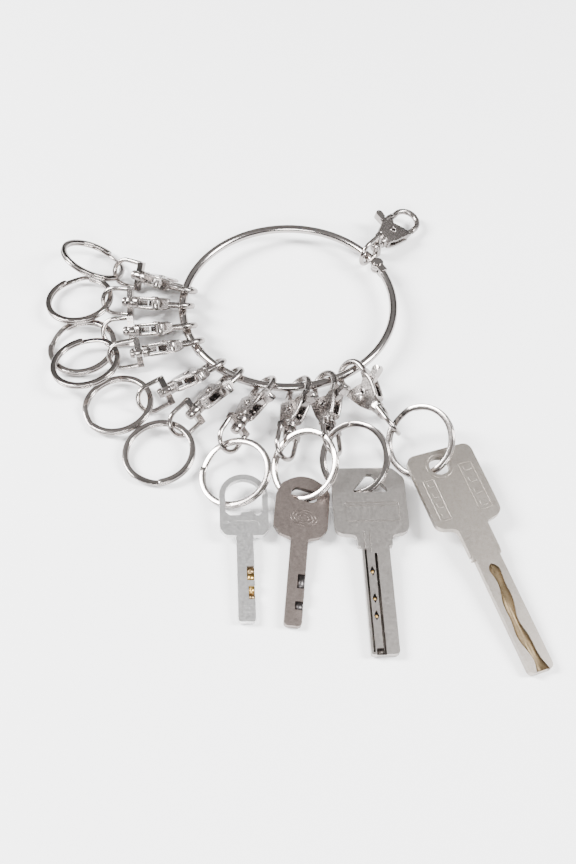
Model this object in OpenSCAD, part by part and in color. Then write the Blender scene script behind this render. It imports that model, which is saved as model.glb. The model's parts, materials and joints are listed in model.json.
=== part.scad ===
// Key organiser: a hinged wire ring that carries eleven swivel trigger clasps,
// ten split rings and four keys. Millimetres, +Z up. The origin is the centre
// of the main ring, dropped to the table the assembly lies on.

/* [Main ring] */

// Outside diameter of the hinged main ring
ring_outer_diameter = 80; // [70:1:90]

// Diameter of the main ring wire
ring_wire = 3.0; // [2.6:0.1:3.4]

// Height of the ring wire centre above the table
ring_height = 6.5; // [6:0.1:8]

// Direction of the hinge rivet seen from the ring centre, degrees
hinge_angle = 30; // [20:1:36]

/* [Swivel clasps] */

// Diameter of the round wire of each hook
hook_wire = 2.2; // [1.8:0.1:2.4]

// Centreline radius of the round end of each hook
hook_radius = 4.7; // [4.4:0.1:5]

// Thickness of the clasp body
body_thick = 4.4; // [4:0.1:5]

// Diameter of the wire of the swivel eyes
eye_wire = 1.7; // [1.4:0.1:1.9]

/* [Split rings] */

// Outside diameter of a split ring
split_outer_diameter = 25; // [24:0.5:26]

// Radial width of the split ring wire
split_width = 2.0; // [1.6:0.1:2.2]

// Height of one coil of a split ring
coil_height = 0.9; // [0.8:0.05:1.1]

/* [Keys] */

// Thickness of the two small keys
small_key_thick = 2.0; // [1.6:0.1:2.4]

// Thickness of the two large keys
large_key_thick = 2.2; // [2:0.1:2.6]

/* [Hidden] */

$fn = 48;
ring_radius = (ring_outer_diameter - ring_wire) / 2;
closure_angle = hinge_angle + 184;
split_radius = (split_outer_diameter - split_width) / 2;
coil_groove = 0.1;
groove_depth = 0.3;

// Stations along a clasp, measured from the collar towards the hook end.
arc_x = 16.15;
wire_x = 17.45;
pivot_x = 7;
gate_reach = 8.5;
tip_clearance = 0.3;
pin_radius = 0.8;
stem_radius = 0.92;
bar_centre_x = -2.1;
bow_centre_x = -7.9;
eye_half = 4.7;
eye_hold_x = -9.6;

// One row for each clasp hooked on the ring: place on the ring, heading of the
// long axis from eye to hook, slope down to the eye, roll of the hook and roll
// of the eye, all in degrees.
clasps = [
    [169, -24, 4.5, -45, 49],
    [181, -8, 3.5, -47, 53],
    [196, 2, 5, -48, 45],
    [208, 13, 1, -48, 56],
    [228, 31, 4.5, -46, 50],
    [240, 48, 4, -46, 51],
    [258, 63, -1, -46, 55],
    [276, 79, 0, -46, 55],
    [289, 95, -0.5, -46, 54],
    [304, 121, 0, -46, 65]
];

// The free clasp in the same form: its eye holds the ring, its hook lies
// nearly flat outside it.
free_clasp = [40, 51, -4.5, -165, 90];

// One row for each split ring: its centre, its tilt about X and about Y and how
// far round its wire ends are turned.
splits = [
    [-73, 20.5, 8, -19, 27, 30],
    [-77, 4.5, 4, -6, -4, 100],
    [-74, -17, 2.5, 1, -5, 150],
    [-71.5, -27, 6, -7, -7, 80],
    [-59, -43.5, 3, 0, -7, 200],
    [-43.5, -63.5, 3, 5, -5, 250],
    [-17.5, -73, 5, 9, -16, 140],
    [5.5, -72, 8, 17, -31, 20],
    [22, -70, 9, 27, -30, 60],
    [44, -63, 9, 22, -34, 110]
];

// One row for each key: place of its neck, its heading about the vertical and
// its tilt about X and about Y.
keys = [
    [-14, -97, 2.5, 3, 4, 5],
    [3.5, -98, 2.5, -4, 4, 6],
    [27.5, -96.5, 3.5, 3, 4, 3],
    [58.5, -93.5, 5, 20, 5, 4]
];

function on_ring(angle) = [
    ring_radius * cos(angle), ring_radius * sin(angle), ring_height
];

// Clasp frame: +X along the clasp to the hook end, +Z across its flat faces.
module clasp_frame(i, roll) {
    c = clasps[i];
    translate(on_ring(c[0]))
        rotate([roll, -c[2], c[1]])
            translate([-wire_x, 0, 0])
                children();
}

module free_frame(roll) {
    c = free_clasp;
    translate(on_ring(c[0]))
        rotate([roll, -c[2], c[1]])
            translate([-eye_hold_x, 0, 0])
                children();
}

module along_x(x, radius, length) {
    translate([x, 0, 0])
        rotate([0, 90, 0])
            cylinder(h = length, r = radius);
}

module plate(thick) {
    translate([0, 0, -thick / 2])
        linear_extrude(thick)
            children();
}

// Round wire bent through an arc about +Z.
module wire_arc(radius, wire, from, sweep) {
    rotate([0, 0, from])
        rotate_extrude(angle = sweep, $fn = 96)
            translate([radius, 0])
                circle(d = wire, $fn = 32);
}

// ---------------------------------------------------------------- clasps

module body_outline() {
    polygon([
        [0.9, -2.7], [4.2, -4.3], [9, -5.8], [13.4, -5.8], [13.4, -3.6],
        [10.6, -3.2], [9.6, -1.8], [11.6, 3.6], [11.6, 5.2], [10.6, 5.6],
        [4.2, 4.1], [0.9, 2.7]
    ]);
}

// Side view of the body: full thickness over the pivot, thinned to the wire.
module body_profile() {
    half = body_thick / 2;
    polygon([
        [0.9, -half + 0.4], [2.6, -half], [10.4, -half], [13.4, -1.1],
        [13.4, 1.1], [10.4, half], [2.6, half], [0.9, half - 0.4]
    ]);
}

// Slot the lever swings in, open on the gate side and on the thumb side.
module lever_slot() {
    polygon([
        [1.9, -7], [10.5, -7], [10.5, -2.4], [12.6, -1.9], [12.6, 7], [1.9, 7]
    ]);
}

module hook_shape() {
    difference() {
        union() {
            intersection() {
                plate(body_thick) body_outline();
                translate([0, 8, 0])
                    rotate([90, 0, 0])
                        linear_extrude(16)
                            body_profile();
            }
            along_x(-0.7, 2.2, 2);
            along_x(-3.7, stem_radius, 3.4);
            along_x(-4.9, 1.5, 0.5);
            along_x(-4.5, 1.75, 1);
            translate([12.6, -hook_radius, 0])
                along_x(0, hook_wire / 2, arc_x - 12.6);
            translate([arc_x, 0, 0])
                wire_arc(hook_radius, hook_wire, -90, 180);
            translate([13.8, hook_radius, 0])
                along_x(0, hook_wire / 2, arc_x - 13.8);
        }
        plate(2.3) lever_slot();
        translate([pivot_x, 0, -4])
            cylinder(h = 8, r = pin_radius + 0.02);
        // The hook end stops just clear of the swing of the gate.
        intersection() {
            translate([pivot_x, 0, -4])
                cylinder(h = 8, r = gate_reach + tip_clearance, $fn = 96);
            translate([12.8, 2, -4])
                cube([5, 5, 8]);
        }
    }
}

module lever_outline() {
    translate([pivot_x, 0])
        circle(2.1);
    intersection() {
        polygon([
            [5.4, 1.2], [8.2, 3.8], [10.4, 5.5], [16.5, 5.5], [16.5, 3.9],
            [12.2, 3.7], [8.8, -1], [7, 0]
        ]);
        translate([pivot_x, 0])
            circle(gate_reach, $fn = 96);
    }
    polygon([[5.6, -1], [8.8, -1], [10.1, -6], [10.2, -7], [7.8, -7], [7.4, -6]]);
}

module lever_shape() {
    difference() {
        union() {
            plate(1.8) lever_outline();
            plate(2.8) polygon([[7.8, -6.4], [10.2, -6.4], [11, -8.8], [8.2, -8.8]]);
            translate([9.6, -8.8, -1.4])
                cylinder(h = 2.8, r = 1.4);
        }
        translate([pivot_x, 0, -4])
            cylinder(h = 8, r = pin_radius + 0.06);
    }
}

// Tubular pivot pin with rolled rims, and the leaf that closes the gate.
module pin_shape() {
    difference() {
        union() {
            translate([pivot_x, 0, -body_thick / 2])
                cylinder(h = body_thick, r = pin_radius);
            for (side = [-1, 1])
                translate([pivot_x, 0, side * (body_thick / 2 + 0.13)])
                    cylinder(h = 0.26, r = 1.35, center = true);
        }
        translate([pivot_x, 0, -4])
            cylinder(h = 8, r = 0.45);
    }
    translate([1.9, -0.15, -0.9])
        cube([2.5, 0.3, 1.8]);
}

module eye_shape() {
    difference() {
        union() {
            translate([bar_centre_x - 1.1, -eye_half - 0.6, -1.1])
                cube([2.2, 2 * eye_half + 1.2, 2.2]);
            along_x(bar_centre_x - 1.1, 1.9, 2.2);
            for (side = [-1, 1])
                translate([bow_centre_x, side * eye_half, 0])
                    along_x(0, eye_wire / 2, bar_centre_x - bow_centre_x);
            translate([bow_centre_x, 0, 0])
                wire_arc(eye_half, eye_wire, 90, 180);
        }
        along_x(-5, stem_radius + 0.08, 5);
    }
}

module hook(i) {
    color([0.78, 0.75, 0.73])
        clasp_frame(i, clasps[i][3]) hook_shape();
}

module lever(i) {
    color([0.82, 0.79, 0.76])
        clasp_frame(i, clasps[i][3]) lever_shape();
}

module pin(i) {
    color([0.66, 0.63, 0.61])
        clasp_frame(i, clasps[i][3]) pin_shape();
}

module eye(i) {
    color([0.8, 0.77, 0.75])
        clasp_frame(i, clasps[i][4]) eye_shape();
}

// ---------------------------------------------------------------- main ring

// Frame at the hinge rivet with +Y along the ring towards the fixed half.
module hinge_frame() {
    translate(on_ring(hinge_angle))
        rotate([0, 0, hinge_angle])
            children();
}

module ring_fixed() {
    color([0.8, 0.77, 0.75]) {
        difference() {
            union() {
                translate([0, 0, ring_height])
                    wire_arc(ring_radius, ring_wire, hinge_angle + 5,
                        closure_angle - hinge_angle - 5.15);
                hinge_frame() {
                    plate(1.3) circle(2.3);
                    translate([-1.4, 0, -0.65])
                        cube([2.8, 4.6, 1.3]);
                }
                closure_frame()
                    translate([0, 1, 0])
                        rotate([90, 0, 0])
                            cylinder(h = 3.2, r = 0.75);
            }
            hinge_frame()
                translate([0, 0, -4])
                    cylinder(h = 8, r = 0.87);
        }
        hinge_frame() {
            cylinder(h = 3.7, r = 0.85, center = true);
            for (side = [-1, 1])
                translate([0, 0, side * 2.05])
                    cylinder(h = 0.5, r = 1.6, center = true);
        }
    }
}

// Frame where the two halves meet, -Y pointing into the opening half.
module closure_frame() {
    translate(on_ring(closure_angle))
        rotate([0, 0, closure_angle + 180])
            children();
}

module ring_opening() {
    color([0.8, 0.77, 0.75])
        difference() {
            union() {
                translate([0, 0, ring_height])
                    wire_arc(ring_radius, ring_wire, closure_angle + 0.15,
                        360 + hinge_angle - 5.15 - closure_angle);
                closure_frame()
                    translate([0, -0.15, 0])
                        rotate([90, 0, 0])
                            cylinder(h = 1.6, r = ring_wire / 2 + 0.2);
                hinge_frame()
                    for (side = [-1, 1])
                        translate([0, 0, side * 1.35]) {
                            plate(0.8) circle(2.3);
                            translate([-1.4, -4.6, -0.4])
                                cube([2.8, 4.6, 0.8]);
                        }
            }
            hinge_frame()
                translate([0, 0, -4])
                    cylinder(h = 8, r = 0.91);
            closure_frame()
                translate([0, 0.5, 0])
                    rotate([90, 0, 0])
                        cylinder(h = 3.4, r = 0.87);
        }
}

// ---------------------------------------------------------------- split rings

// Two coils of flat wire, stepped from one level to the other by a kinked
// bridge. A narrower core joins them and leaves the groove a key is pushed in by.
module split_ring_shape() {
    level = (coil_height + coil_groove) / 2;
    core_width = split_width - 2 * groove_depth;
    for (side = [-1, 1])
        translate([0, 0, side * level])
            rotate([0, 0, side < 0 ? 25 : 22])
                rotate_extrude(angle = 313, $fn = 96)
                    translate([split_radius, 0])
                        square([split_width, coil_height], center = true);
    rotate([0, 0, 25])
        rotate_extrude(angle = 310, $fn = 96)
            translate([split_radius, 0])
                square([core_width, coil_height], center = true);
    for (side = [-1, 1])
        rotate([0, 0, 11.5 * side])
            translate([split_radius - 0.15, 0, side * level / 2])
                rotate([6.5, 0, 0])
                    cube([split_width - 0.3, 5.2, coil_height - 0.1], center = true);
}

module split_ring(i) {
    s = splits[i];
    color([0.74, 0.71, 0.69])
        translate([s[0], s[1], s[2]])
            rotate([s[3], s[4], 0])
                rotate([0, 0, s[5]])
                    split_ring_shape();
}

// ---------------------------------------------------------------- keys

// Key frame: origin at the neck on the underside, blade along -Y, head along +Y.
module key_frame(k) {
    translate([keys[k][0], keys[k][1], keys[k][2]])
        rotate([keys[k][4], keys[k][5], keys[k][3]])
            children();
}

module rounded_box(width, length, corner) {
    square([width - 2 * corner, length], center = true);
    square([width, length - 2 * corner], center = true);
    for (x = [-1, 1], y = [-1, 1])
        translate([x * (width / 2 - corner), y * (length / 2 - corner)])
            circle(corner);
}

// Small key with a large arched opening and a pointed tooth in it.
module key_1() {
    color([0.84, 0.83, 0.82])
        key_frame(0)
            difference() {
                linear_extrude(small_key_thick) {
                    difference() {
                        union() {
                            translate([0, 14.8]) circle(8);
                            polygon([
                                [-2.7, 0], [-6, 0.4], [-7.9, 2.6], [-7.9, 14.8],
                                [7.9, 14.8], [7.9, 2.6], [6, 0.4], [2.7, 0]
                            ]);
                        }
                        translate([0, 14.8]) circle(6.1);
                        polygon([
                            [-6, 14.8], [-6, 9], [-4.6, 7.6], [4.6, 7.6], [6, 9], [6, 14.8]
                        ]);
                    }
                    polygon([
                        [-1.2, 7], [-1.2, 7.6], [-0.4, 9], [0.8, 10.2],
                        [1.2, 10.2], [2.4, 9], [4, 7.6], [4, 7]
                    ]);
                    polygon([
                        [-2.7, 0.5], [-2.7, -27.4], [-1.4, -29.4], [1.4, -29.4],
                        [2.7, -27.4], [2.7, 0.5]
                    ]);
                }
                translate([-5.2, 2.2, small_key_thick - 0.25])
                    cube([9.6, 3.6, 1]);
                for (y = [-15.2, -21.6])
                    translate([0.5, y, small_key_thick - 0.8])
                        cube([4, 5, 2]);
                translate([-1.1, -27, small_key_thick - 0.35])
                    cube([0.9, 23, 1]);
            }
}

// Small key with a full head, a slanted oval hole and a plain oval boss.
module key_2() {
    color([0.64, 0.58, 0.55])
        key_frame(1)
            difference() {
                union() {
                    linear_extrude(small_key_thick) {
                        difference() {
                            union() {
                                translate([0, 12.4]) rounded_box(18, 16, 4);
                                translate([0, 14.4]) circle(8.6);
                                polygon([
                                    [-2.8, 0], [-9, 4.8], [-9, 12], [9, 12],
                                    [9, 4.8], [2.8, 0]
                                ]);
                            }
                            translate([0.5, 16.2])
                                rotate([0, 0, -10]) {
                                    square([4.6, 4.4], center = true);
                                    for (side = [-1, 1])
                                        translate([side * 2.3, 0]) circle(2.2);
                                }
                        }
                        polygon([
                            [-2.8, 0.5], [-2.8, -27.8], [-1.4, -29.8],
                            [1.4, -29.8], [2.8, -27.8], [2.8, 0.5]
                        ]);
                    }
                    translate([0.5, 8, 0])
                        cylinder(h = small_key_thick + 0.2, r = 2.6);
                }
                for (y = [-16, -24])
                    translate([0.3, y, small_key_thick - 0.8])
                        cube([4, 5.6, 2]);
                translate([-1.2, -28, small_key_thick - 0.35])
                    cube([0.9, 27, 1]);
            }
}

// Large dimple key: square head, triangular hole, raised plain label panel.
module key_3() {
    color([0.74, 0.71, 0.69])
        key_frame(2)
            difference() {
                union() {
                    linear_extrude(large_key_thick)
                        difference() {
                            union() {
                                polygon([
                                    [-12.5, 3], [-10.5, 0], [9.5, 0], [11.5, 3],
                                    [11.5, 19], [7.5, 24], [-10.5, 24], [-12.5, 22]
                                ]);
                                translate([-5.6, -4.5]) square([11.2, 6]);
                                polygon([
                                    [-4.4, -3], [-4.4, -39], [-3.4, -41],
                                    [3.4, -41], [4.4, -39], [4.4, -3]
                                ]);
                            }
                            polygon([
                                [-5.6, 15], [5.6, 15], [5.6, 16.4],
                                [1.2, 21.8], [-1.2, 21.8], [-5.6, 16.4]
                            ]);
                        }
                    translate([-8.5, 4.2, large_key_thick - 0.5])
                        cube([17, 7, 0.8]);
                }
                translate([-7.7, 5, large_key_thick])
                    cube([15.4, 5.4, 1]);
                for (x = [-2.6, 0.6])
                    translate([x, -40, large_key_thick - 0.6])
                        cube([1.1, 36, 1]);
                for (step = [0:5])
                    translate([-0.7, -36 + step * 5.4, large_key_thick + 0.3])
                        sphere(1.15, $fn = 24);
            }
}

// Large key with a rounded square head, a round hole and a milled wavy track.
module key_4() {
    color([0.7, 0.66, 0.63])
        key_frame(3)
            difference() {
                union() {
                    linear_extrude(large_key_thick)
                        difference() {
                            union() {
                                translate([0, 14.2]) rounded_box(23.6, 28.4, 3.5);
                                translate([-5.2, -12.5]) square([10.4, 14]);
                                polygon([
                                    [-4.2, -11], [-4.2, -50], [-2.4, -52.4],
                                    [2.4, -52.4], [4.2, -50], [4.2, -11]
                                ]);
                            }
                            translate([-1.6, 22.5]) circle(3.4);
                        }
                    translate([-8.8, 4.4, large_key_thick - 0.5])
                        cube([3.4, 14, 0.8]);
                    translate([4, 3.4, large_key_thick - 0.5])
                        cube([5, 14, 0.8]);
                }
                for (step = [0:7])
                    translate([0.9 * sin(step * 95), -49 + step * 4.8, large_key_thick - 0.7])
                        cylinder(h = 2, r = 1.9);
                translate([-1.2, -49, large_key_thick - 0.7])
                    cube([2.4, 34, 2]);
            }
}

// The eleventh clasp hangs on the ring by its eye and leaves its hook free.
module hook_11() {
    color([0.78, 0.75, 0.73])
        free_frame(free_clasp[3]) hook_shape();
}

module lever_11() {
    color([0.82, 0.79, 0.76])
        free_frame(free_clasp[3]) lever_shape();
}

module pin_11() {
    color([0.66, 0.63, 0.61])
        free_frame(free_clasp[3]) pin_shape();
}

module eye_11() {
    color([0.8, 0.77, 0.75])
        free_frame(free_clasp[4]) eye_shape();
}

// ---------------------------------------------------------------- nodes

module hook_01() { hook(0); }
module lever_01() { lever(0); }
module pin_01() { pin(0); }
module eye_01() { eye(0); }
module split_ring_01() { split_ring(0); }
module hook_02() { hook(1); }
module lever_02() { lever(1); }
module pin_02() { pin(1); }
module eye_02() { eye(1); }
module split_ring_02() { split_ring(1); }
module hook_03() { hook(2); }
module lever_03() { lever(2); }
module pin_03() { pin(2); }
module eye_03() { eye(2); }
module split_ring_03() { split_ring(2); }
module hook_04() { hook(3); }
module lever_04() { lever(3); }
module pin_04() { pin(3); }
module eye_04() { eye(3); }
module split_ring_04() { split_ring(3); }
module hook_05() { hook(4); }
module lever_05() { lever(4); }
module pin_05() { pin(4); }
module eye_05() { eye(4); }
module split_ring_05() { split_ring(4); }
module hook_06() { hook(5); }
module lever_06() { lever(5); }
module pin_06() { pin(5); }
module eye_06() { eye(5); }
module split_ring_06() { split_ring(5); }
module hook_07() { hook(6); }
module lever_07() { lever(6); }
module pin_07() { pin(6); }
module eye_07() { eye(6); }
module split_ring_07() { split_ring(6); }
module hook_08() { hook(7); }
module lever_08() { lever(7); }
module pin_08() { pin(7); }
module eye_08() { eye(7); }
module split_ring_08() { split_ring(7); }
module hook_09() { hook(8); }
module lever_09() { lever(8); }
module pin_09() { pin(8); }
module eye_09() { eye(8); }
module split_ring_09() { split_ring(8); }
module hook_10() { hook(9); }
module lever_10() { lever(9); }
module pin_10() { pin(9); }
module eye_10() { eye(9); }
module split_ring_10() { split_ring(9); }

ring_fixed();
ring_opening();
hook_01();
lever_01();
pin_01();
eye_01();
hook_02();
lever_02();
pin_02();
eye_02();
hook_03();
lever_03();
pin_03();
eye_03();
hook_04();
lever_04();
pin_04();
eye_04();
hook_05();
lever_05();
pin_05();
eye_05();
hook_06();
lever_06();
pin_06();
eye_06();
hook_07();
lever_07();
pin_07();
eye_07();
hook_08();
lever_08();
pin_08();
eye_08();
hook_09();
lever_09();
pin_09();
eye_09();
hook_10();
lever_10();
pin_10();
eye_10();
hook_11();
lever_11();
pin_11();
eye_11();
split_ring_01();
split_ring_02();
split_ring_03();
split_ring_04();
split_ring_05();
split_ring_06();
split_ring_07();
split_ring_08();
split_ring_09();
split_ring_10();
key_1();
key_2();
key_3();
key_4();
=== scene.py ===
import json
import math

import bmesh
import bpy
import numpy as np
from mathutils import Matrix, Vector

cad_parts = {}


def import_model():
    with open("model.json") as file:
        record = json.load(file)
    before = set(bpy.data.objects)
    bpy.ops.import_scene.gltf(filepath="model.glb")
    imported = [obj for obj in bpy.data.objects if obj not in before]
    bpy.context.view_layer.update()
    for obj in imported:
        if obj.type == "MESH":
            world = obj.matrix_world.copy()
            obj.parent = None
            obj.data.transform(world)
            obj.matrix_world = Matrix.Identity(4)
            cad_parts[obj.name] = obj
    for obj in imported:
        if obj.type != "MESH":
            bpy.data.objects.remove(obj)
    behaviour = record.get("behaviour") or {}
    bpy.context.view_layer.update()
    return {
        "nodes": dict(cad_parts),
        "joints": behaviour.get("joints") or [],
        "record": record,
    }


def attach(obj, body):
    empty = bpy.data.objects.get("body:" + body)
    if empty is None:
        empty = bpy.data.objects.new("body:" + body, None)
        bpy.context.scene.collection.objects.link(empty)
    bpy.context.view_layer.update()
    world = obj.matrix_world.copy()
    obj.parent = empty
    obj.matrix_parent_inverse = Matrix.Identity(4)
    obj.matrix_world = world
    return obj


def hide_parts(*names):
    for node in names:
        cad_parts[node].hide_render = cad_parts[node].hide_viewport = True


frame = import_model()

MM = 0.001
NODES = frame["nodes"]
RECORD = frame["record"]
JOINTS = {j["name"]: j for j in frame["joints"]}
MOUNTS = {m["name"]: m for m in RECORD["mounts"]}


# ------------------------------------------------------------------ materials

class Nodes:
    """A material's node tree with short calls for the nodes used here."""

    def __init__(self, name):
        self.material = bpy.data.materials.new(name)
        self.material.use_nodes = True
        self.tree = self.material.node_tree
        self.shader = self.tree.nodes["Principled BSDF"]
        self.place = self.add("ShaderNodeTexCoord").outputs["Object"]

    def add(self, kind, **inputs):
        node = self.tree.nodes.new(kind)
        for key, value in inputs.items():
            node.inputs[key.replace("_", " ")].default_value = value
        return node

    def link(self, out, socket):
        self.tree.links.new(out, socket)

    def noise(self, scale, detail=3.0, stretch=None, rough=0.55):
        node = self.add("ShaderNodeTexNoise", Scale=scale, Detail=detail, Roughness=rough)
        place = self.place
        if stretch:
            mapping = self.add("ShaderNodeMapping", Scale=stretch)
            self.link(place, mapping.inputs["Vector"])
            place = mapping.outputs["Vector"]
        self.link(place, node.inputs["Vector"])
        return node.outputs["Fac"]

    def ramp(self, fac, stops):
        node = self.add("ShaderNodeValToRGB")
        ramp = node.color_ramp
        while len(ramp.elements) < len(stops):
            ramp.elements.new(0.5)
        for element, (place, colour) in zip(ramp.elements, stops):
            element.position = place
            element.color = colour if len(colour) == 4 else (*colour, 1)
        self.link(fac, node.inputs["Fac"])
        return node.outputs["Color"]

    def grey(self, fac, low, high, start=0.3, end=0.7):
        node = self.add("ShaderNodeMapRange")
        node.inputs["From Min"].default_value = start
        node.inputs["From Max"].default_value = end
        node.inputs["To Min"].default_value = low
        node.inputs["To Max"].default_value = high
        self.link(fac, node.inputs["Value"])
        return node.outputs["Result"]

    def bump(self, height, strength, distance, after=None):
        node = self.add("ShaderNodeBump", Strength=strength, Distance=distance)
        self.link(height, node.inputs["Height"])
        if after:
            self.link(after, node.inputs["Normal"])
        return node.outputs["Normal"]


def metal(name, dark, light, rough, scratch=0.08, brushed=(1.0, 0.06, 1.0), pits=0.0):
    """Worn bare metal: faint tone changes, patchy gloss, fine grain, long scratches and specks."""
    m = Nodes(name)
    tone = m.noise(1100.0, 8.0, rough=0.75)
    colour = m.ramp(tone, [(0.35, dark), (0.65, light)])
    if pits:
        specks = m.noise(3800.0, 2.0)
        shade = m.grey(specks, 1.0, 1.0 - pits, 0.60, 0.68)
        mix = m.add("ShaderNodeMix")
        mix.data_type = "RGBA"
        mix.blend_type = "MULTIPLY"
        mix.inputs[0].default_value = 1.0
        m.link(colour, mix.inputs[6])
        m.link(shade, mix.inputs[7])
        colour = mix.outputs[2]
    m.link(colour, m.shader.inputs["Base Color"])
    m.shader.inputs["Metallic"].default_value = 1.0
    patch = m.noise(1400.0, 6.0)
    m.link(m.grey(patch, rough * 0.85, rough * 1.2), m.shader.inputs["Roughness"])
    normal = m.bump(m.noise(9000.0, 2.0), 0.06, 0.00001)
    lines = m.noise(7000.0, 2.0, stretch=brushed, rough=0.8)
    normal = m.bump(lines, scratch, 0.00001, normal)
    m.link(normal, m.shader.inputs["Normal"])
    return m.material


STEEL = {
    "ring_wire": metal("ring_wire", (0.33, 0.303, 0.29), (0.4, 0.37, 0.355), 0.17, 0.03),
    "split_ring_steel": metal("split_ring_steel", (0.29, 0.264, 0.25), (0.36, 0.33, 0.315), 0.16, 0.03),
    "clasp_body": metal("clasp_body", (0.26, 0.236, 0.224), (0.33, 0.302, 0.288), 0.25, 0.04, pits=0.15),
    "gate_lever": metal("gate_lever", (0.31, 0.283, 0.27), (0.38, 0.35, 0.335), 0.22, 0.04),
    "rivet": metal("rivet", (0.25, 0.228, 0.218), (0.32, 0.295, 0.282), 0.22, 0.03),
    "swivel_eye": metal("swivel_eye", (0.31, 0.283, 0.27), (0.38, 0.35, 0.335), 0.18, 0.03),
    "key_silver": metal("key_silver", (0.66, 0.65, 0.64), (0.76, 0.75, 0.74), 0.33, 0.12),
    "key_brown": metal("key_brown", (0.20, 0.165, 0.15), (0.26, 0.22, 0.20), 0.36, 0.16, pits=0.3),
    "key_milled": metal("key_milled", (0.34, 0.315, 0.295), (0.41, 0.385, 0.365), 0.36, 0.14, pits=0.15),
    "key_brass_toned": metal("key_brass_toned", (0.33, 0.295, 0.26), (0.40, 0.365, 0.33), 0.36, 0.14,
                             pits=0.15),
}

# Dark brown, a shaded copy of the brass cut: painted shade for the pocket slopes of the silver key that face
# away from the light.
PAINTED_SHADE_BROWN = metal("painted_shade_brown_cut", (0.19, 0.13, 0.07), (0.27, 0.19, 0.10), 0.34)
BRASS = metal("brass_cut", (0.46, 0.29, 0.09), (0.60, 0.40, 0.15), 0.3)
# Near-black grey for the pocket floors of the brown key: painted shade.
PAINTED_SHADE_GREY = metal("painted_shade_grey", (0.08, 0.075, 0.075), (0.13, 0.12, 0.12), 0.4)
# Near-black for the grooves and dimple pits of the milled key: painted shade.
PAINTED_SHADE_GROOVE = metal("painted_shade_groove", (0.035, 0.03, 0.028), (0.07, 0.062, 0.056), 0.45)
TAN_TRACK = metal("tan_track", (0.20, 0.145, 0.08), (0.30, 0.23, 0.14), 0.42)


def node_slot(node):
    """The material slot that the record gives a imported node."""
    for part in RECORD["subparts"]:
        if part["node"] == node:
            return part["material_slot"]
    raise ValueError(node)


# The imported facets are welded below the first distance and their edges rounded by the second.
WELD_DISTANCE = 0.002 * MM
EDGE_ROUNDING = 0.12 * MM
EDGE_ANGLE = 35


def finish_cad_node(name, obj):
    """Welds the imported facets, rounds the edges a little and gives the metal."""
    obj.data.materials.clear()
    obj.data.materials.append(STEEL[node_slot(name)])
    weld = obj.modifiers.new("weld", "WELD")
    weld.merge_threshold = WELD_DISTANCE
    bevel = obj.modifiers.new("edges", "BEVEL")
    bevel.width = EDGE_ROUNDING
    bevel.segments = 2
    bevel.limit_method = "ANGLE"
    bevel.angle_limit = math.radians(EDGE_ANGLE)
    bevel.harden_normals = False
    for polygon in obj.data.polygons:
        polygon.use_smooth = True
    normals = obj.modifiers.new("normals", "WEIGHTED_NORMAL")
    normals.keep_sharp = True


for name, obj in NODES.items():
    finish_cad_node(name, obj)

# ------------------------------------------------------------------ mesh tools

def rounded(points, radius, steps=6):
    """A closed outline with each corner replaced by an arc; radius may be one value or one per corner."""
    out = []
    count = len(points)
    for i, corner in enumerate(points):
        r = radius[i] if isinstance(radius, (list, tuple)) else radius
        here = Vector(corner)
        before = (Vector(points[i - 1]) - here)
        after = (Vector(points[(i + 1) % count]) - here)
        half = before.angle(after) / 2
        reach = min(r / math.tan(half), before.length * 0.49, after.length * 0.49)
        if reach < 1e-4:
            out.append(here)
            continue
        start = here + before.normalized() * reach
        end = here + after.normalized() * reach
        for k in range(steps + 1):
            t = k / steps
            out.append(start * (1 - t) ** 2 + here * 2 * t * (1 - t) + end * t ** 2)
    return out


def circle_points(x, y, radius, steps=48, stretch=1.0, turn=0.0):
    """A circle as an outline, or an oval where it is stretched along X before it is turned."""
    out = []
    for k in range(steps):
        a = 2 * math.pi * k / steps
        px, py = radius * stretch * math.cos(a), radius * math.sin(a)
        out.append(Vector((x + px * math.cos(turn) - py * math.sin(turn),
                           y + px * math.sin(turn) + py * math.cos(turn))))
    return out


def prism(points, low, high):
    """A bmesh prism over a plane outline between two heights."""
    bm = bmesh.new()
    verts = [bm.verts.new((p[0], p[1], low)) for p in points]
    face = bm.faces.new(verts)
    if face.normal.z > 0:
        face.normal_flip()
    moved = bmesh.ops.extrude_face_region(bm, geom=[face])["geom"]
    for v in moved:
        if isinstance(v, bmesh.types.BMVert):
            v.co.z = high
    bmesh.ops.recalc_face_normals(bm, faces=bm.faces)
    return bm


def as_object(bm, name):
    """Puts a bmesh into the scene as an object of that name."""
    mesh = bpy.data.meshes.new(name)
    bm.to_mesh(mesh)
    bm.free()
    obj = bpy.data.objects.new(name, mesh)
    bpy.context.scene.collection.objects.link(obj)
    return obj


def combine(obj, tool, operation):
    """Boolean of two objects in place; the tool is used up."""
    step = obj.modifiers.new("step", "BOOLEAN")
    step.operation = operation
    step.object = tool
    step.solver = "EXACT"
    graph = bpy.context.evaluated_depsgraph_get()
    mesh = bpy.data.meshes.new_from_object(obj.evaluated_get(graph))
    obj.modifiers.clear()
    old = obj.data
    obj.data = mesh
    bpy.data.meshes.remove(old)
    bpy.data.objects.remove(tool)
    return obj


def cut(obj, points, low, high):
    """Takes a prism out of a plate."""
    return combine(obj, as_object(prism(points, low, high), "tool"), "DIFFERENCE")


def add(obj, points, low, high):
    """Joins a prism to a plate."""
    return combine(obj, as_object(prism(points, low, high), "tool"), "UNION")


def box_points(x0, y0, x1, y1):
    return [(x0, y0), (x1, y0), (x1, y1), (x0, y1)]


def frame_outline(x0, y0, x1, y1, line):
    """Outer and inner outlines of a raised rectangular line."""
    return (rounded(box_points(x0, y0, x1, y1), 0.6),
            rounded(box_points(x0 + line, y0 + line, x1 - line, y1 - line), 0.4))


# Distance from the neck of each key to the tip of its blade, in millimetres.
BLADE_LENGTH = {"key_1": 29.4, "key_2": 29.8, "key_3": 41.0, "key_4": 52.4}


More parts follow.
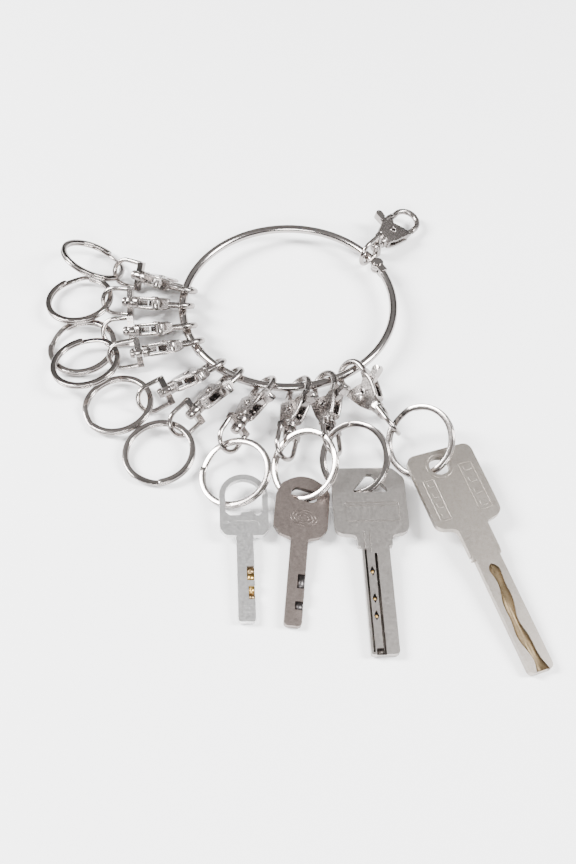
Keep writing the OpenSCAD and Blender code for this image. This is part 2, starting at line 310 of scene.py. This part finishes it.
def key_matrix(node, thick):
    """From key millimetres (neck at the origin, blade along -Y, underside at z = 0) to the row frame."""
    blade = MOUNTS[f"{node}_blade"]
    back = -Vector(blade["axis"])
    up = main_normal(NODES[node].data)
    up = (up - back * up.dot(back)).normalized()
    right = back.cross(up)
    tip = Vector(blade["pos_m"])
    origin = tip + back * BLADE_LENGTH[node] * MM - up * thick / 2 * MM
    turn = Matrix((right * MM, back * MM, up * MM)).transposed().to_4x4()
    return Matrix.Translation(origin) @ turn


def place(obj, matrix, body, slot, material, bevel=0.12, segments=2, angle=32):
    """Puts a piece made in millimetres where its matrix says, with rounded edges, riding a body."""
    obj.data.transform(matrix)
    obj.data.materials.clear()
    obj.data.materials.append(material)
    for polygon in obj.data.polygons:
        polygon.use_smooth = True
    if bevel:
        weld = obj.modifiers.new("weld", "WELD")
        weld.merge_threshold = 0.003 * MM
        edge = obj.modifiers.new("edges", "BEVEL")
        edge.width = bevel * MM
        edge.segments = segments
        edge.limit_method = "ANGLE"
        edge.angle_limit = math.radians(angle)
        edge.harden_normals = True
        normals = obj.modifiers.new("normals", "WEIGHTED_NORMAL")
        normals.keep_sharp = True
    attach(obj, body)


# ----------------------------------------------------------------- split rings

# How far round each ring its wire ends are turned, in degrees.
WIRE_ENDS = (30, 100, 150, 80, 200, 250, 140, 20, 60, 110)
COIL_RADIUS = 11.5
COIL_WIDTH = 1.96
COIL_HEIGHT = 0.9
COIL_CORNER = 0.36
COIL_LEVEL = 0.5

# Where the wire starts and ends, and where it steps down, in degrees round the ring.
WIRE_START = 22.0
WIRE_END = 698.0
WIRE_STEPS = 260
STEP_START = 337.0
STEP_SWEEP = 46.0
STEP_DIP = 0.12
END_PINCH = 0.25


def main_normal(mesh):
    """The direction that most of a flat part's surface faces, upwards."""
    areas = {}
    for p in mesh.polygons:
        n = p.normal if p.normal.z > 0 else -p.normal
        tag = tuple(round(c, 2) for c in n)
        total, area = areas.get(tag, (Vector((0, 0, 0)), 0.0))
        areas[tag] = (total + n * p.area, area + p.area)
    return max(areas.values(), key=lambda v: v[1])[0].normalized()


def ring_matrix(node):
    """Millimetres in the plane of a split ring to the row frame, +X where its wire ends are measured from."""
    mesh = NODES[node].data
    up = main_normal(mesh)
    right = Vector((up.z, 0, -up.x)).normalized()
    back = up.cross(right)
    places = np.array([(v.co.dot(right), v.co.dot(back), v.co.dot(up)) for v in mesh.vertices])
    flat = places[:, :2]
    fit = np.linalg.lstsq(np.c_[2 * flat, np.ones(len(flat))], (flat ** 2).sum(1), rcond=None)[0]
    level = (places[:, 2].min() + places[:, 2].max()) / 2
    centre = right * fit[0] + back * fit[1] + up * level
    turn = Matrix((right * MM, back * MM, up * MM)).transposed().to_4x4()
    return Matrix.Translation(centre) @ turn


def smooth(t):
    """A soft step from 0 to 1."""
    t = min(max(t, 0.0), 1.0)
    return t * t * (3 - 2 * t)


def wire_section(width, height, corner, steps=3):
    """Points round a flat wire with rounded edges, as (outwards, up)."""
    points = []
    for sx, sy, first in ((1, 1, 0), (-1, 1, 90), (-1, -1, 180), (1, -1, 270)):
        for k in range(steps + 1):
            a = math.radians(first + 90 * k / steps)
            points.append((sx * (width / 2 - corner) + corner * math.cos(a),
                           sy * (height / 2 - corner) + corner * math.sin(a)))
    return points


def sweep(stations, closed=False):
    """A tube mesh through rings of points; the two ends are capped unless it closes on itself."""
    bm = bmesh.new()
    rings = [[bm.verts.new(p) for p in ring] for ring in stations]
    count = len(rings[0])
    pairs = list(zip(rings, rings[1:])) + ([(rings[-1], rings[0])] if closed else [])
    for a, b in pairs:
        for i in range(count):
            j = (i + 1) % count
            bm.faces.new((a[i], a[j], b[j], b[i]))
    if not closed:
        bm.faces.new(rings[0][::-1])
        bm.faces.new(rings[-1])
    bmesh.ops.recalc_face_normals(bm, faces=bm.faces)
    return bm


def build_split_ring(i):
    """One length of flat wire, nearly two turns, that steps down from the upper coil to the lower."""
    name = f"split_ring_{i + 1:02d}"
    section = wire_section(COIL_WIDTH, COIL_HEIGHT, COIL_CORNER)
    stations = []
    for k in range(WIRE_STEPS + 1):
        angle = WIRE_START + (WIRE_END - WIRE_START) * k / WIRE_STEPS
        drop = smooth((angle - STEP_START) / STEP_SWEEP)
        pinch = 1 - END_PINCH * (smooth(1 - k / 2) + smooth(1 - (WIRE_STEPS - k) / 2))
        level = COIL_LEVEL * (1 - 2 * drop)
        radius = COIL_RADIUS - STEP_DIP * math.sin(math.pi * drop)
        a = math.radians(angle + WIRE_ENDS[i])
        ring = []
        for out, up in section:
            r = radius + out * pinch
            ring.append((r * math.cos(a), r * math.sin(a), level + up * pinch))
        stations.append(ring)
    obj = as_object(sweep(stations), f"{name}_wire")
    place(obj, ring_matrix(name), name, "split_ring_steel", STEEL["split_ring_steel"], bevel=0)
    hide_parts(name)


for i in range(10):
    build_split_ring(i)

# ----------------------------------------------------------------- clasp trims

PIVOT_X = 7.0
BODY_HALF = 2.2


def clasp_matrix(number):
    """Millimetres along a clasp (+X to the hook, +Z across its flat faces) to the row frame."""
    gate, swivel = JOINTS[f"gate_{number}"], JOINTS[f"swivel_{number}"]
    along = Vector(swivel["axis"]).normalized()
    across = -Vector(gate["axis"]).normalized()
    side = across.cross(along)
    origin = Vector(gate["pos_m"]) - along * PIVOT_X * MM
    turn = Matrix((along * MM, side * MM, across * MM)).transposed().to_4x4()
    return Matrix.Translation(origin) @ turn


def torus(centre, axis, radius, wire, steps=40, round_steps=12):
    """A ring of round wire about one of the clasp's axes."""
    stations = []
    for k in range(steps):
        a = 2 * math.pi * k / steps
        ring = []
        for j in range(round_steps):
            b = 2 * math.pi * j / round_steps
            r, h = radius + wire * math.cos(b), wire * math.sin(b)
            point = (r * math.cos(a), r * math.sin(a), h)
            if axis == "X":
                point = (h, r * math.cos(a), r * math.sin(a))
            ring.append(tuple(c + p for c, p in zip(centre, point)))
        stations.append(ring)
    return sweep(stations, closed=True)


def dome(x, radius, height, steps=8, around=32):
    """A low dome that faces -X."""
    stations = []
    for k in range(steps):
        a = math.pi / 2 * k / steps
        r, h = radius * math.cos(a), height * math.sin(a)
        turns = [2 * math.pi * j / around for j in range(around)]
        stations.append([(x - h, r * math.cos(b), r * math.sin(b)) for b in turns])
    return sweep(stations)


# Middle line of the rounded edge of a body plate, from the hook wire down to the collar.
SPINE = ((13.6, -4.5), (11.2, -4.85), (8.6, -4.95), (6.0, -4.3), (3.6, -3.35), (1.2, -2.35))


def along_curve(path, share):
    """The place and the heading part of the way along a smooth curve through a path's points."""
    last = len(path) - 1
    s = last * share
    j = min(int(s), last - 1)
    f = s - j
    before, a, b, after = (Vector(path[min(max(n, 0), last)]) for n in (j - 1, j, j + 1, j + 2))
    here = 0.5 * (2 * a + (b - before) * f + (2 * before - 5 * a + 4 * b - after) * f * f
                  + (3 * a - before - 3 * b + after) * f ** 3)
    heading = ((b - before) * (1 - f) + (after - a) * f).normalized()
    return here, heading


def spine_rim(side):
    """The rounded edge of one body plate."""
    section = wire_section(1.5, 1.2, 0.5, 4)
    stations = []
    count = 30
    for k in range(count + 1):
        here, heading = along_curve(SPINE, k / count)
        out = Vector((heading.y, -heading.x))
        height = side * (1.68 - 0.55 * smooth(1 - k / 8))
        end = 0.55 + 0.45 * smooth(min(k, count - k) / 3)
        stations.append([(here.x + out.x * u * end, here.y + out.y * u * end, height + v * end)
                         for u, v in section])
    return sweep(stations)


def trim_clasp(number):
    """Adds the collar beads, swivel dome, plate edges, rivet rims and thumb ridges of one clasp."""
    matrix = clasp_matrix(number)
    body, lever = f"clasp_{number}", f"lever_{number}"
    pieces = [
        ("collar_bead", torus((-0.42, 0, 0), "X", 2.0, 0.28), "clasp_body"),
        ("collar_ring", torus((1.3, 0, 0), "X", 2.1, 0.24), "clasp_body"),
        ("swivel_dome", dome(-4.85, 1.5, 0.45), "clasp_body"),
    ]
    for side, word in ((1, "front"), (-1, "back")):
        pieces.append((f"spine_{word}", spine_rim(side), "clasp_body"))
        rim = torus((PIVOT_X, 0, side * (BODY_HALF + 0.1)), "Z", 0.95, 0.3)
        pieces.append((f"rivet_rim_{word}", rim, "rivet"))
    for word, bm, slot in pieces:
        place(as_object(bm, f"clasp_{number}_{word}"), matrix, body, slot, STEEL[slot], bevel=0)
    for k in range(3):
        x, y = 10.35 + 0.28 * k, -6.9 - 0.8 * k
        ridge = prism(circle_points(x, y, 0.26, 16), -1.25, 1.25)
        place(as_object(ridge, f"lever_{number}_ridge_{k + 1}"), matrix, lever, "gate_lever",
              STEEL["gate_lever"], bevel=0.08)


for i in range(11):
    trim_clasp(f"{i + 1:02d}")

# ------------------------------------------------------------------------- keys

SMALL_THICK = 2.0
LARGE_THICK = 2.2

# The dimples of the milled key: their line down the blade, and their places along it.
DIMPLE_X = -1.75
DIMPLES = (-13.2, -22.4, -28.2)


def sloped_pocket(x0, y0, x1, y1, deep, shallow, top):
    """A pocket tool whose floor slopes from one end to the other."""
    bm = prism(box_points(x0, y0, x1, y1), top - deep, top + 1)
    for v in bm.verts:
        if v.co.z < top and v.co.y > (y0 + y1) / 2:
            v.co.z = top - shallow
    return as_object(bm, "tool")


POCKET_GAP = 0.02
POCKET_LIFT = 0.03


def pocket_floor(name, x0, y0, x1, y1, deep, shallow, top):
    """The floor of a sloped pocket as a thin piece, so that it can be coloured apart from the key, with brass
    or with painted shade.
    """
    inside = box_points(x0 + POCKET_GAP, y0 + POCKET_GAP, x1 - POCKET_GAP, y1 - POCKET_GAP)
    bm = prism(inside, top - deep - 0.2, top - deep + POCKET_LIFT)
    for v in bm.verts:
        if v.co.y > (y0 + y1) / 2:
            v.co.z += deep - shallow
    return as_object(bm, name)


def silver_key_plate():
    """The small silver key before its pockets: arched head with a tooth, shallow panel and blade."""
    top = SMALL_THICK
    shoulders = [(-2.7, 0.4), (-6, 0.4), (-7.9, 2.8), (-7.9, 14.8),
                 (7.9, 14.8), (7.9, 2.8), (6, 0.4), (2.7, 0.4)]
    head = rounded(shoulders, [0.4, 1.6, 2.2, 0, 0, 2.2, 1.6, 0.4])
    obj = as_object(prism(head, 0, top), "key_silver")
    obj = add(obj, circle_points(0, 14.8, 8.0, 72), 0, top)
    blade = rounded([(-2.7, 1.5), (-2.7, -29.2), (2.7, -29.2), (2.7, 1.5)], [0.2, 1.1, 1.1, 0.2])
    obj = add(obj, blade, 0, top)
    arch = [(-6.0, 14.9), (-6.0, 8.8), (-4.6, 7.6), (-1.4, 7.6), (-0.7, 9.0), (0.8, 10.4), (1.5, 10.3),
            (2.4, 9.1), (4.0, 7.6), (4.8, 7.6), (6.0, 8.8), (6.0, 14.9)]
    obj = cut(obj, rounded(arch, 0.35), -1, top + 1)
    obj = cut(obj, circle_points(0, 14.8, 6.1, 72), -1, top + 1)
    return cut(obj, rounded(box_points(-5.4, 2.3, 4.8, 5.6), 1.2), top - 0.16, top + 1)


def build_silver_key():
    """The small silver key with pockets down one edge, brass on the floors that slope one way and painted
    shade on the others.
    """
    top = SMALL_THICK
    matrix = key_matrix("key_1", top)
    obj = silver_key_plate()
    pockets = [(0.3, -12.9, 3.0, -10.5, 0.3, 0.9), (0.3, -15.3, 3.0, -12.9, 0.9, 0.3),
               (0.7, -19.5, 3.2, -17.3, 0.9, 0.3), (0.7, -21.7, 3.2, -19.5, 0.3, 0.9)]
    for x0, y0, x1, y1, near, far in pockets:
        obj = combine(obj, sloped_pocket(x0, y0, x1, y1, near, far, top), "DIFFERENCE")
    place(obj, matrix, "key_1", "key_silver", STEEL["key_silver"], bevel=0.22, segments=3)
    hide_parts("key_1")
    for i, (x0, y0, x1, y1, near, far) in enumerate(pockets):
        floor_piece = pocket_floor(f"key_silver_cut_{i + 1}", x0, y0, min(x1, 2.66), y1, near, far, top)
        # The brass is the colour of the cut; the dark brown given to the floors sloping the other way is
        # painted shade.
        tone = BRASS if near > far else PAINTED_SHADE_BROWN
        place(floor_piece, matrix, "key_1", "key_silver", tone, bevel=0)


def slanted_slot():
    """The oval hole of the brown key: two half circles on a line that slopes down to the right."""
    turn = math.radians(-10)
    points = []
    for side, first in ((1, -90), (-1, 90)):
        for k in range(13):
            a = math.radians(first + 15 * k)
            x, y = side * 2.3 + 2.2 * math.cos(a), 2.2 * math.sin(a)
            points.append((0.5 + x * math.cos(turn) - y * math.sin(turn),
                           16.2 + x * math.sin(turn) + y * math.cos(turn)))
    return points


def build_brown_key():
    """The small brownish key with a plain raised oval and two pockets whose floors are darkened with painted
    shade.
    """
    top = SMALL_THICK
    matrix = key_matrix("key_2", top)
    outline = [(-2.8, 0.2), (-6.6, 1.5), (-8.8, 4.4), (-8.8, 15.6), (-6.8, 21.2),
               (6.4, 21.2), (8.8, 17.4), (8.8, 4.4), (6.6, 1.5), (2.8, 0.2)]
    radii = [0.8, 2.4, 2.4, 2.5, 5.0, 5.5, 2.5, 2.4, 2.4, 0.8]
    obj = as_object(prism(rounded(outline, radii, 8), 0, top), "key_brown")
    crown = circle_points(0, 14.4, 8.55, 72)
    obj = add(obj, crown, 0, top)
    blade = rounded([(-2.8, 1.5), (-2.8, -29.6), (2.8, -29.6), (2.8, 1.5)], [0.2, 1.5, 1.5, 0.2])
    obj = add(obj, blade, 0, top)
    obj = cut(obj, slanted_slot(), -1, top + 1)
    pockets = ((0.4, -17.0, 3.2, -12.2), (0.2, -24.2, 3.2, -21.4))
    for x0, y0, x1, y1 in pockets:
        obj = combine(obj, sloped_pocket(x0, y0, x1, y1, 0.7, 0.7, top), "DIFFERENCE")
    place(obj, matrix, "key_2", "key_brown", STEEL["key_brown"], bevel=0.2, segments=3)
    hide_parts("key_2")
    stretch, slope = 1.45, math.radians(-8)
    for i, radius in enumerate((3.0, 2.2, 1.3)):
        outer = circle_points(0.8, 7.8, radius, 48, stretch, slope)
        inner = circle_points(0.8, 7.8, radius - 0.35, 48, stretch, slope)
        ring = cut(as_object(prism(outer, top - 0.3, top + 0.12), "tool"), inner, top - 1, top + 1)
        ring.name = f"key_brown_oval_{i + 1}"
        place(ring, matrix, "key_2", "key_brown", STEEL["key_brown"], bevel=0.07)
    # Dark grey sheets on the pocket floors: painted shade.
    for i, (x0, y0, x1, y1) in enumerate(pockets):
        piece = pocket_floor(f"key_brown_cut_{i + 1}", x0, y0, min(x1, 2.76), y1, 0.7, 0.7, top)
        place(piece, matrix, "key_2", "key_brown", PAINTED_SHADE_GREY, bevel=0)


def diamond(y, half_width, half_length):
    """A diamond round one dimple of the milled key."""
    return [(DIMPLE_X - half_width, y), (DIMPLE_X, y - half_length),
            (DIMPLE_X + half_width, y), (DIMPLE_X, y + half_length)]


def build_milled_key():
    """The large key with a triangular hole, a plain framed panel, grooves darkened with painted shade and
    three dimples.
    """
    top = LARGE_THICK
    matrix = key_matrix("key_3", top)
    outline = [(-5.6, -4.5), (-5.6, -0.6), (-12.5, 0.2), (-12.5, 24), (7.6, 24),
               (11.5, 20), (11.5, 0.2), (5.6, -0.6), (5.6, -4.5)]
    radii = [0.5, 2.4, 3.4, 2.6, 2.4, 2.4, 3.4, 2.4, 0.5]
    obj = as_object(prism(rounded(outline, radii, 8), 0, top), "key_milled")
    blade = rounded([(-4.4, -3.6), (-4.4, -40.8), (4.4, -40.8), (4.4, -3.6)], [0.2, 1.0, 1.4, 0.2])
    obj = add(obj, blade, 0, top)
    hole = rounded([(-5.6, 15.0), (5.6, 15.0), (5.6, 16.2), (0.9, 21.8), (-0.9, 21.8), (-5.6, 16.2)], 0.5)
    obj = cut(obj, hole, -1, top + 1)
    obj = cut(obj, rounded(box_points(-8.8, 4.0, 8.8, 11.2), 0.8), top - 0.3, top + 1)
    obj = add(obj, rounded(box_points(-8.2, 10.2, 8.2, 10.6), 0.15), top - 0.6, top - 0.05)
    obj = add(obj, rounded(box_points(-8.2, 4.6, 8.2, 5.0), 0.15), top - 0.6, top - 0.05)
    for x in (-3.6, -1.9):
        obj = cut(obj, box_points(x, -7.0, x + 0.35, 0.6), top - 0.25, top + 1)
    obj = cut(obj, box_points(-3.7, -40.0, -3.0, -5.5), top - 0.7, top + 1)
    obj = cut(obj, rounded(box_points(-0.6, -40.9, 0.3, -7.0), 0.1), top - 0.8, top + 1)
    for y in DIMPLES:
        obj = cut(obj, rounded(diamond(y, 0.85, 1.9), 0.3), top - 0.7, top + 1)
    obj = cut(obj, rounded(box_points(-2.7, -41.5, -0.4, -38.8), 0.3), top - 0.8, top + 1)
    place(obj, matrix, "key_3", "key_milled", STEEL["key_milled"], bevel=0.16, segments=3)
    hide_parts("key_3")
    grooves = ((-0.6, -40.7, 0.3, -7.0, 0.8), (-2.7, -40.7, -0.4, -38.8, 0.8),
               (-3.7, -39.9, -3.0, -5.6, 0.7))
    # Near-black sheets on the groove floors: painted shade.
    for i, (x0, y0, x1, y1, deep) in enumerate(grooves):
        piece = pocket_floor(f"key_milled_shaded_groove_{i + 1}", x0, y0, x1, y1, deep, deep, top)
        place(piece, matrix, "key_3", "key_milled", PAINTED_SHADE_GROOVE, bevel=0)
    for i, y in enumerate(DIMPLES):
        # Near-black pit round each dimple: painted shade.
        pit = as_object(prism(diamond(y, 0.83, 1.86), top - 0.9, top - 0.66), f"key_milled_shaded_pit_{i + 1}")
        place(pit, matrix, "key_3", "key_milled", PAINTED_SHADE_GROOVE, bevel=0)
        bottom = prism(circle_points(DIMPLE_X, y, 0.5, 24), top - 0.8, top - 0.62)
        place(as_object(bottom, f"key_milled_dimple_{i + 1}"), matrix, "key_3", "key_milled", BRASS, bevel=0)


def track_outline(grow=0.0):
    """Wavy track down the blade of the fourth key, opening out at the tip."""
    left, right = [], []
    count = 60
    for k in range(count + 1):
        t = k / count
        y = -15.0 - t * 37.4
        middle = -0.4 + 0.75 * math.sin(7.5 * t + 0.4)
        wide = 1.55 + 0.32 * math.sin(19 * t + 1.0)
        if t < 0.06:
            wide *= math.sqrt(t / 0.06)
        if t > 0.9:
            wide += 14 * (t - 0.9) ** 1.5
        left.append((middle - wide - grow, y))
        right.append((middle + wide + grow, y))
    return left + right[::-1]


def build_brass_key():
    """The largest key: a round hole with a rim, two plain panels and a wavy track."""
    top = LARGE_THICK
    hole = (-1.6, 22.5)
    matrix = key_matrix("key_4", top)
    outline = [(-5.2, -12.4), (-5.2, -0.8), (-11.6, 0.9), (-11.6, 28.3), (11.6, 28.3),
               (11.6, 0.9), (5.2, -0.8), (5.2, -10.6), (4.9, -12.4)]
    radii = [0.4, 2.6, 3.6, 3.4, 3.4, 3.6, 1.6, 0.5, 0.3]
    obj = as_object(prism(rounded(outline, radii, 8), 0, top), "key_brass_toned")
    blade = rounded([(-4.2, -11.8), (-4.2, -52.2), (4.2, -52.2), (4.2, -11.8)], [0.2, 2.0, 2.0, 0.2])
    obj = add(obj, blade, 0, top)
    obj = cut(obj, circle_points(*hole, 3.4, 48), -1, top + 1)
    notch = rounded(box_points(-5.6, -12.0, -4.7, -11.0), 0.2)
    obj = cut(obj, notch, -1, top + 1)
    wavy = [(p[0], max(p[1], -52.4)) for p in track_outline()]
    obj = cut(obj, wavy, top - 0.7, top + 1)
    place(obj, matrix, "key_4", "key_brass_toned", STEEL["key_brass_toned"], bevel=0.2, segments=3)
    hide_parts("key_4")
    floor_piece = as_object(prism([(p[0], max(p[1], -51.9)) for p in track_outline(-0.03)],
                                  top - 1.0, top - 0.66), "key_brass_toned_track")
    place(floor_piece, matrix, "key_4", "key_brass_toned", TAN_TRACK, bevel=0)
    rim = as_object(prism(circle_points(*hole, 4.6, 64), top - 0.4, top + 0.1), "tool")
    rim = cut(rim, circle_points(*hole, 4.1, 64), top - 1, top + 1)
    rim.name = "key_brass_toned_rim"
    place(rim, matrix, "key_4", "key_brass_toned", STEEL["key_brass_toned"], bevel=0.08)
    for i, (x0, y0, x1, y1) in enumerate(((-9.4, 3.0, -5.2, 18.6), (4.6, 3.6, 9.6, 21.6))):
        outer, inner = frame_outline(x0, y0, x1, y1, 0.45)
        line = cut(as_object(prism(outer, top - 0.3, top + 0.12), "tool"), inner, top - 1, top + 1)
        line.name = f"key_brass_toned_panel_{i + 1}"
        place(line, matrix, "key_4", "key_brass_toned", STEEL["key_brass_toned"], bevel=0.07)
        for k in range(4):
            y = y0 + (y1 - y0) * (k + 0.5) / 4
            bar = as_object(prism(rounded(box_points(x0 + 1.2, y - 1.1, x1 - 1.2, y + 1.1), 0.7),
                                  top - 0.3, top + 0.08), f"key_brass_toned_bar_{i + 1}_{k + 1}")
            place(bar, matrix, "key_4", "key_brass_toned", STEEL["key_brass_toned"], bevel=0.07)


build_silver_key()
build_brown_key()
build_milled_key()
build_brass_key()

# --------------------------------------------------------- floor, light, camera

FLOOR_EDGE = 6.0


def floor():
    """The plain pale floor."""
    mesh = bpy.data.meshes.new("floor")
    edge = FLOOR_EDGE
    mesh.from_pydata(
        [(-edge, -edge, 0), (edge, -edge, 0), (edge, edge, 0), (-edge, edge, 0)], [], [(0, 1, 2, 3)])
    obj = bpy.data.objects.new("floor", mesh)
    bpy.context.scene.collection.objects.link(obj)
    m = Nodes("floor")
    m.shader.inputs["Base Color"].default_value = (0.93, 0.93, 0.935, 1)
    m.shader.inputs["Roughness"].default_value = 0.6
    mesh.materials.append(m.material)


def softbox(name, place, aim, size, power):
    """A rectangular studio light that points at its aim."""
    light = bpy.data.lights.new(name, "AREA")
    light.shape = "RECTANGLE"
    light.size, light.size_y = size
    light.energy = power
    obj = bpy.data.objects.new(name, light)
    obj.location = place
    obj.rotation_euler = (Vector(aim) - Vector(place)).to_track_quat("-Z", "Y").to_euler()
    bpy.context.scene.collection.objects.link(obj)


def world():
    """A pale studio sky with a dark band low down, which gives the metal its dark edges."""
    w = bpy.data.worlds.new("studio")
    w.use_nodes = True
    tree = w.node_tree
    back = tree.nodes["Background"]
    place = tree.nodes.new("ShaderNodeTexCoord")
    split = tree.nodes.new("ShaderNodeSeparateXYZ")
    shades = tree.nodes.new("ShaderNodeValToRGB")
    ramp = shades.color_ramp
    greys = ((0.0, 0.75), (0.49, 0.75), (0.51, 0.02), (0.62, 0.03),
             (0.72, 0.14), (0.84, 0.5), (0.94, 0.55), (1.0, 0.3))
    while len(ramp.elements) < len(greys):
        ramp.elements.new(0.5)
    for element, (height, grey) in zip(ramp.elements, greys):
        element.position = height
        element.color = (grey, grey * 0.985, grey * 0.98, 1)
    half = tree.nodes.new("ShaderNodeMapRange")
    half.inputs["From Min"].default_value = -1.0
    tree.links.new(place.outputs["Generated"], split.inputs["Vector"])
    tree.links.new(split.outputs["Z"], half.inputs["Value"])
    tree.links.new(half.outputs["Result"], shades.inputs["Fac"])
    tree.links.new(shades.outputs["Color"], back.inputs["Color"])
    back.inputs["Strength"].default_value = 1.0
    bpy.context.scene.world = w


def camera():
    """High in front of the keys, looking down at the ring."""
    data = bpy.data.cameras.new("camera")
    data.lens = 50.0
    data.sensor_fit = "VERTICAL"
    data.sensor_height = 36.0
    data.clip_start = 0.01
    obj = bpy.data.objects.new("camera", data)
    obj.location = (0.0, -0.29345, 0.336)
    obj.rotation_euler = (math.radians(35.6), 0, 0)
    bpy.context.scene.collection.objects.link(obj)
    bpy.context.scene.camera = obj


floor()
world()
softbox("key light", (-0.75, 0.1, 0.7), (0, -0.02, 0), (0.3, 0.5), 42.0)
softbox("fill light", (0.75, -0.1, 0.7), (0, -0.02, 0), (0.3, 0.5), 30.0)
softbox("front light", (-0.1, -0.9, 0.6), (0, -0.05, 0), (0.6, 0.15), 14.0)
camera()
